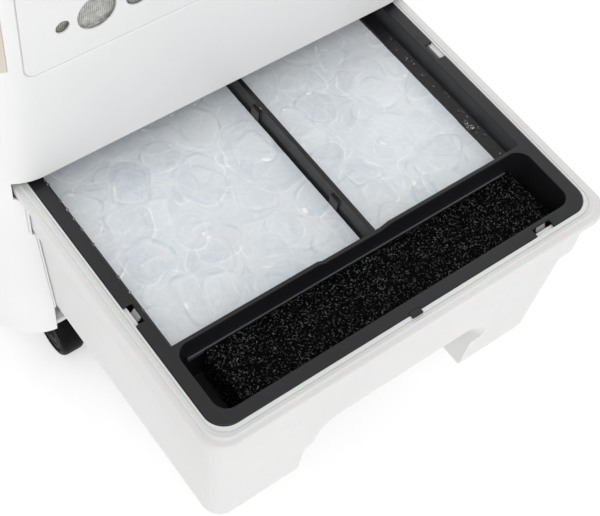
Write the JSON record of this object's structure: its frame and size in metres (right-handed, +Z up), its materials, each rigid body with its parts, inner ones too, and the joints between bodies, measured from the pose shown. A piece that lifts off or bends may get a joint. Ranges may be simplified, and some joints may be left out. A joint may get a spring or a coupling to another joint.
{
  "type": "portable evaporative air cooler",
  "caption": "Upright air cooler on castors with a pull-out tank that holds a black ice tray and a foam filter, a dotted air intake, louvred outlet and top controls.",
  "frame": {"origin": "floor level, at the middle of the footprint with the tank pulled out", "axes": "+Z up; the tank pulls out towards -Y; the louvres face +Y; +X is right when facing +Y"},
  "size_m": [0.374, 0.557, 0.7015],
  "materials": {
    "cabinet_plastic": "satin",
    "chassis_plastic": "matte",
    "filter_mesh": "matte",
    "dark_plastic": "matte",
    "pad_cellulose": "matte",
    "black_plastic": "satin",
    "zinc_steel": "satin",
    "gloss_black": "gloss",
    "smoked_window": "gloss",
    "circuit_board": "satin",
    "button_plastic": "satin",
    "beige_trim": "satin",
    "tank_plastic": "satin",
    "tray_plastic": "satin",
    "filter_foam": "matte",
    "tray_gloss": "gloss",
    "ice": "gloss",
    "clip_plastic": "satin",
    "wheel_nylon": "satin"
  },
  "bodies": {
    "cabinet": {"rear_shell": "cabinet_plastic", "front_shell": "cabinet_plastic", "top_cover": "cabinet_plastic", "chassis_base": "chassis_plastic", "tank_rails": "chassis_plastic", "intake_panel": "cabinet_plastic", "dust_filter": "filter_mesh", "pad_frame": "dark_plastic", "cooling_pad": "pad_cellulose", "water_trough": "dark_plastic", "drip_tray": "dark_plastic", "water_connector": "dark_plastic", "fan_housing": "chassis_plastic", "fan_inlet_ring": "dark_plastic", "fan_motor": "zinc_steel", "motor_bracket": "zinc_steel", "air_duct": "chassis_plastic", "outlet_frame": "cabinet_plastic", "control_panel": "gloss_black", "display_window": "smoked_window", "control_board": "circuit_board", "left_side_trim": "beige_trim", "right_side_trim": "beige_trim", "handle_cups": "chassis_plastic", "power_inlet": "black_plastic", "body_screws": "zinc_steel"},
    "fan": {"fan_wheel": "black_plastic"},
    "tank": {"water_tank": "tank_plastic", "ice_tray": "tray_plastic", "divider_bar": "tray_plastic", "filter_sponge": "filter_foam", "sponge_ledge": "tray_gloss", "ice_left": "ice", "ice_right": "ice", "tray_clips": "clip_plastic", "water_pump": "black_plastic"},
    "louvre_1": {"louvre_1": "cabinet_plastic"},
    "louvre_2": {"louvre_2": "cabinet_plastic"},
    "louvre_3": {"louvre_3": "cabinet_plastic"},
    "louvre_link": {"louvre_link": "dark_plastic"},
    "vane_1": {"vane_1": "chassis_plastic"},
    "vane_2": {"vane_2": "chassis_plastic"},
    "vane_3": {"vane_3": "chassis_plastic"},
    "vane_4": {"vane_4": "chassis_plastic"},
    "vane_link": {"vane_link": "dark_plastic"},
    "button_1": {"button_1": "button_plastic"},
    "button_2": {"button_2": "button_plastic"},
    "button_3": {"button_3": "button_plastic"},
    "button_4": {"button_4": "button_plastic"},
    "button_5": {"button_5": "button_plastic"},
    "castor_1": {"castor_1": "black_plastic"},
    "wheels_1": {"castor_wheels_1": "wheel_nylon"},
    "castor_2": {"castor_2": "black_plastic"},
    "wheels_2": {"castor_wheels_2": "wheel_nylon"},
    "castor_3": {"castor_3": "black_plastic"},
    "wheels_3": {"castor_wheels_3": "wheel_nylon"},
    "castor_4": {"castor_4": "black_plastic"},
    "wheels_4": {"castor_wheels_4": "wheel_nylon"},
    "brake_3": {"brake_lever_3": "dark_plastic"},
    "brake_4": {"brake_lever_4": "dark_plastic"}
  },
  "joints": [
    {"name": "tank_slide", "type": "slide", "parent": "cabinet", "child": "tank", "axis": [0, -1, 0], "range_m": [-0.227, 0.065]},
    {"name": "fan_spin", "type": "hinge", "parent": "cabinet", "child": "fan", "pos_m": [0, 0.0625, 0.434], "axis": [0, 1, 0], "continuous": true},
    {"name": "louvre_1_tilt", "type": "hinge", "parent": "cabinet", "child": "louvre_1", "pos_m": [0, 0.2605, 0.56267], "axis": [1, 0, 0], "range_deg": [-35, 35]},
    {"name": "louvre_2_tilt", "type": "hinge", "parent": "cabinet", "child": "louvre_2", "pos_m": [0, 0.2605, 0.592], "axis": [1, 0, 0], "range_deg": [-35, 35]},
    {"name": "louvre_3_tilt", "type": "hinge", "parent": "cabinet", "child": "louvre_3", "pos_m": [0, 0.2605, 0.62133], "axis": [1, 0, 0], "range_deg": [-35, 35]},
    {"name": "louvre_link_swing", "type": "hinge", "parent": "louvre_1", "child": "louvre_link", "pos_m": [0.121, 0.2515, 0.56267], "axis": [1, 0, 0], "range_deg": [-35, 35]},
    {"name": "vane_1_turn", "type": "hinge", "parent": "cabinet", "child": "vane_1", "pos_m": [-0.10125, 0.2365, 0.592], "axis": [0, 0, 1], "range_deg": [-35, 35]},
    {"name": "vane_2_turn", "type": "hinge", "parent": "cabinet", "child": "vane_2", "pos_m": [-0.03375, 0.2365, 0.592], "axis": [0, 0, 1], "range_deg": [-35, 35]},
    {"name": "vane_3_turn", "type": "hinge", "parent": "cabinet", "child": "vane_3", "pos_m": [0.03375, 0.2365, 0.592], "axis": [0, 0, 1], "range_deg": [-35, 35]},
    {"name": "vane_4_turn", "type": "hinge", "parent": "cabinet", "child": "vane_4", "pos_m": [0.10125, 0.2365, 0.592], "axis": [0, 0, 1], "range_deg": [-35, 35]},
    {"name": "vane_link_swing", "type": "hinge", "parent": "vane_1", "child": "vane_link", "pos_m": [-0.10125, 0.2275, 0.556], "axis": [0, 0, 1], "range_deg": [-35, 35]},
    {"name": "button_1_press", "type": "slide", "parent": "cabinet", "child": "button_1", "axis": [0, 0, -1], "range_m": [0, 0.0015], "stiffness_N_per_m": 300, "springref_m": -0.0005},
    {"name": "button_2_press", "type": "slide", "parent": "cabinet", "child": "button_2", "axis": [0, 0, -1], "range_m": [0, 0.0015], "stiffness_N_per_m": 300, "springref_m": -0.0005},
    {"name": "button_3_press", "type": "slide", "parent": "cabinet", "child": "button_3", "axis": [0, 0, -1], "range_m": [0, 0.0015], "stiffness_N_per_m": 300, "springref_m": -0.0005},
    {"name": "button_4_press", "type": "slide", "parent": "cabinet", "child": "button_4", "axis": [0, 0, -1], "range_m": [0, 0.0015], "stiffness_N_per_m": 300, "springref_m": -0.0005},
    {"name": "button_5_press", "type": "slide", "parent": "cabinet", "child": "button_5", "axis": [0, 0, -1], "range_m": [0, 0.0015], "stiffness_N_per_m": 300, "springref_m": -0.0005},
    {"name": "castor_1_swivel", "type": "hinge", "parent": "cabinet", "child": "castor_1", "pos_m": [-0.126, -0.0255, 0.048], "axis": [0, 0, 1], "continuous": true},
    {"name": "wheels_1_roll", "type": "hinge", "parent": "castor_1", "child": "wheels_1", "pos_m": [-0.126, -0.0365, 0.023], "axis": [1, 0, 0], "continuous": true},
    {"name": "castor_2_swivel", "type": "hinge", "parent": "cabinet", "child": "castor_2", "pos_m": [0.126, -0.0255, 0.048], "axis": [0, 0, 1], "continuous": true},
    {"name": "wheels_2_roll", "type": "hinge", "parent": "castor_2", "child": "wheels_2", "pos_m": [0.126, -0.0365, 0.023], "axis": [1, 0, 0], "continuous": true},
    {"name": "castor_3_swivel", "type": "hinge", "parent": "cabinet", "child": "castor_3", "pos_m": [-0.126, 0.2285, 0.048], "axis": [0, 0, 1], "continuous": true},
    {"name": "wheels_3_roll", "type": "hinge", "parent": "castor_3", "child": "wheels_3", "pos_m": [-0.126, 0.2395, 0.023], "axis": [1, 0, 0], "continuous": true},
    {"name": "brake_3_press", "type": "hinge", "parent": "castor_3", "child": "brake_3", "pos_m": [-0.126, 0.26, 0.027], "axis": [-1, 0, 0], "range_deg": [0, 15]},
    {"name": "castor_4_swivel", "type": "hinge", "parent": "cabinet", "child": "castor_4", "pos_m": [0.126, 0.2285, 0.048], "axis": [0, 0, 1], "continuous": true},
    {"name": "wheels_4_roll", "type": "hinge", "parent": "castor_4", "child": "wheels_4", "pos_m": [0.126, 0.2395, 0.023], "axis": [1, 0, 0], "continuous": true},
    {"name": "brake_4_press", "type": "hinge", "parent": "castor_4", "child": "brake_4", "pos_m": [0.126, 0.26, 0.027], "axis": [-1, 0, 0], "range_deg": [0, 15]}
  ],
  "couplings": [
    {"joint": "louvre_2_tilt", "follows": "louvre_1_tilt", "ratio": 1},
    {"joint": "louvre_3_tilt", "follows": "louvre_1_tilt", "ratio": 1},
    {"joint": "louvre_link_swing", "follows": "louvre_1_tilt", "ratio": -1},
    {"joint": "vane_2_turn", "follows": "vane_1_turn", "ratio": 1},
    {"joint": "vane_3_turn", "follows": "vane_1_turn", "ratio": 1},
    {"joint": "vane_4_turn", "follows": "vane_1_turn", "ratio": 1},
    {"joint": "vane_link_swing", "follows": "vane_1_turn", "ratio": -1}
  ]
}
